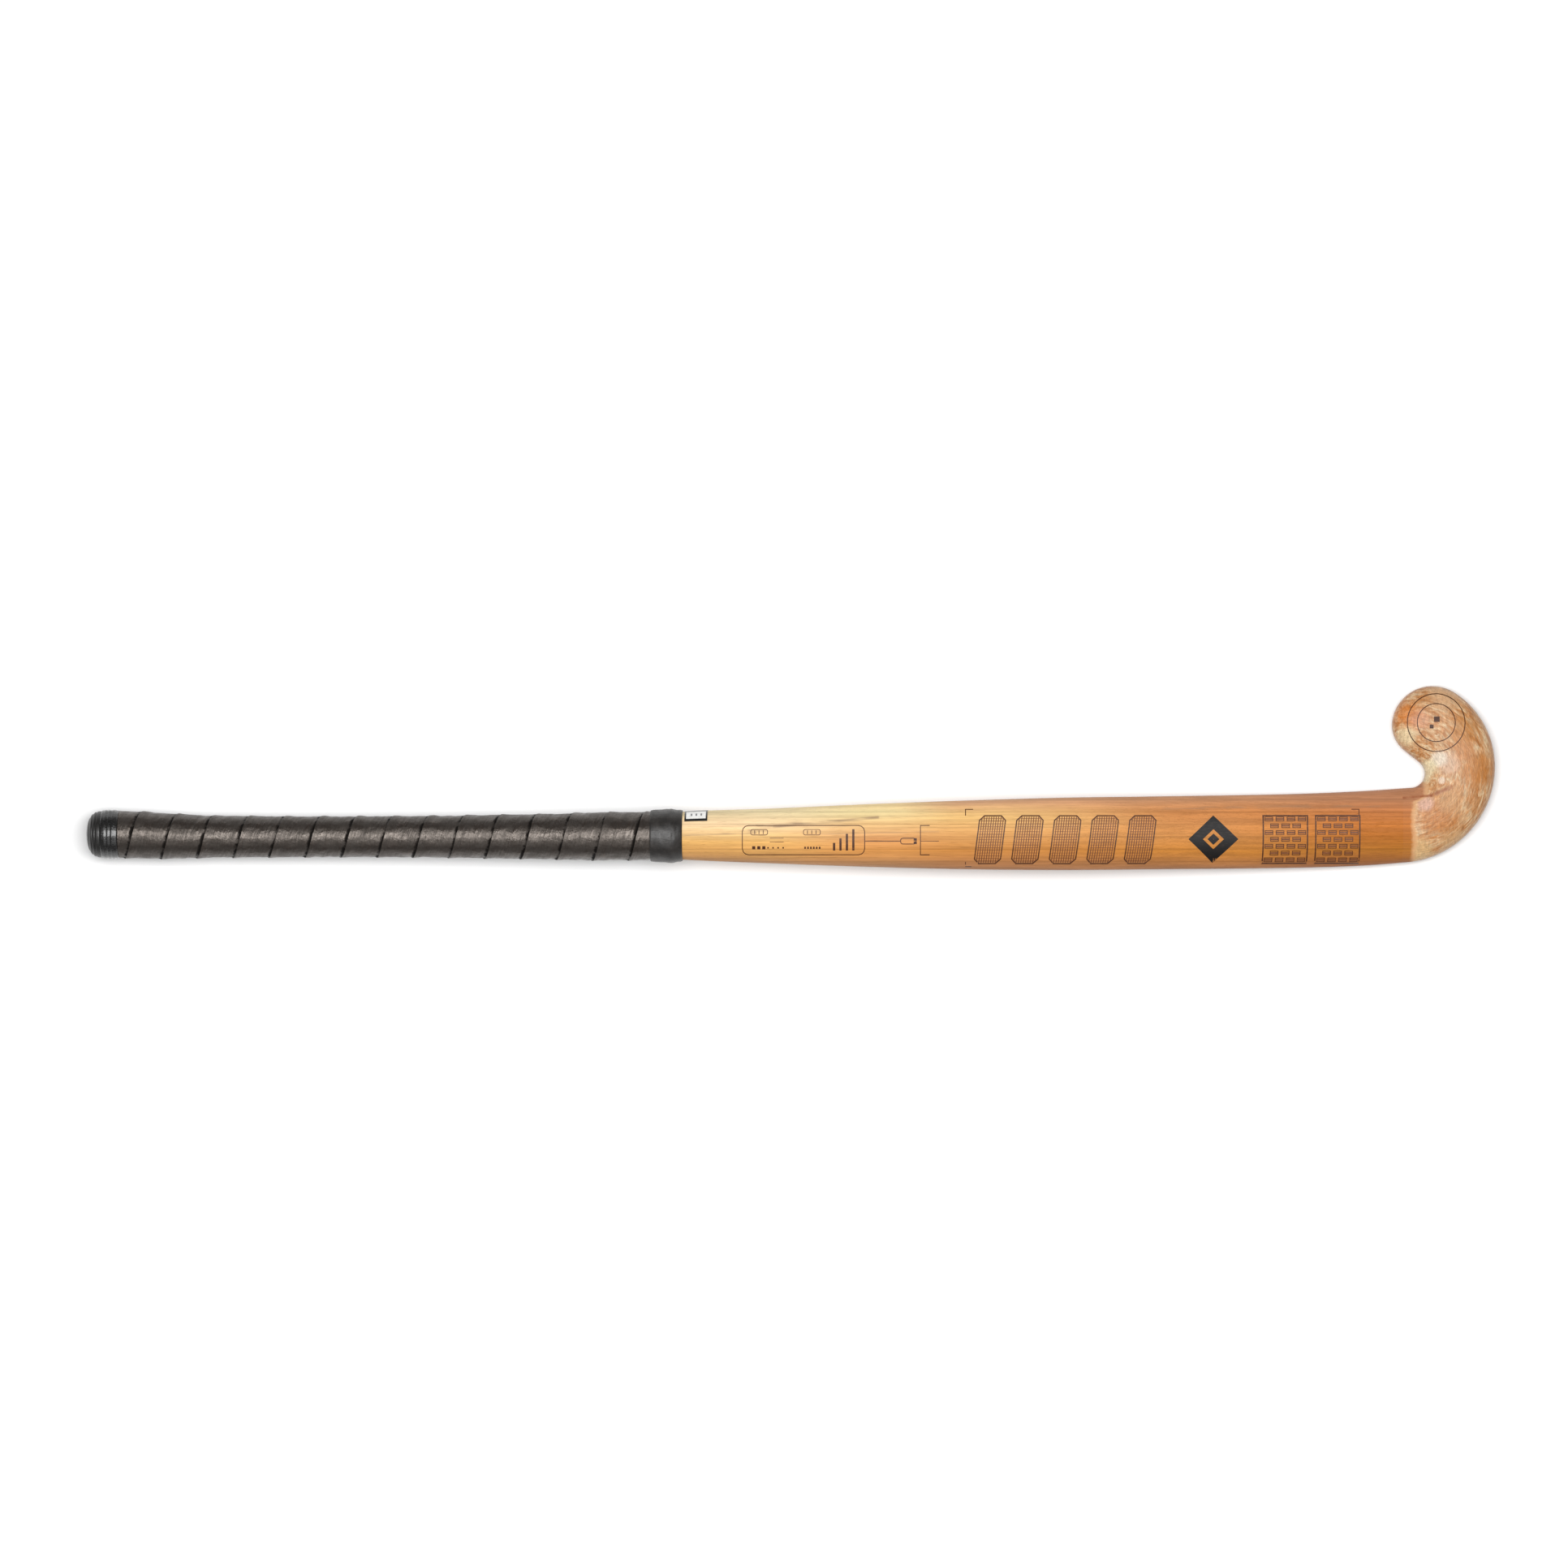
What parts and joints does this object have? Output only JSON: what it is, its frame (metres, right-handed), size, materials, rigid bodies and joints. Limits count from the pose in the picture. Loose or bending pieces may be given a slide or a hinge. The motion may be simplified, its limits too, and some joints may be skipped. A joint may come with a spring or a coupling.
{
  "type": "field hockey stick",
  "caption": "Wooden field hockey stick: laminated hook head with a flat playing face, bowed blade, spliced cane handle and wound grip.",
  "frame": {"origin": "centre of the stick's outline on the plane it lies on, playing face down", "axes": "+X along the stick from the butt to the head, +Y towards the toe of the hook, +Z out of the rounded back, away from the flat playing face"},
  "size_m": [0.9269, 0.1209, 0.0451],
  "materials": {
    "blade_wood": "clear lacquer",
    "blade_wood_red": "clear lacquer",
    "handle_cane": "sanded",
    "damping_rubber": "matt",
    "binding_twine": "waxed",
    "glass_fibre": "clear resin over fibre",
    "cushion_foam": "soft foam tape",
    "grip_leather": "soft black, slightly glossy",
    "collar_tape": "satin",
    "cap_rubber": "glossy black",
    "band_tape": "glossy black",
    "label_film": "white film with a black border"
  },
  "bodies": {
    "root": {"blade_lamination_1": "blade_wood_red", "blade_lamination_2": "blade_wood", "blade_lamination_3": "blade_wood", "blade_lamination_4": "blade_wood", "blade_lamination_5": "blade_wood", "blade_lamination_6": "blade_wood_red", "handle_cane_1": "handle_cane", "handle_cane_2": "handle_cane", "handle_cane_3": "handle_cane", "handle_cane_4": "handle_cane", "handle_rubber_1": "damping_rubber", "handle_rubber_2": "damping_rubber", "handle_rubber_3": "damping_rubber", "splice_binding": "binding_twine", "head_glass_wrap": "glass_fibre", "grip_underwrap": "cushion_foam", "grip_tape": "grip_leather", "grip_collar_tape": "collar_tape", "butt_cap": "cap_rubber", "butt_tape": "band_tape", "size_label": "label_film"}
  },
  "joints": []
}
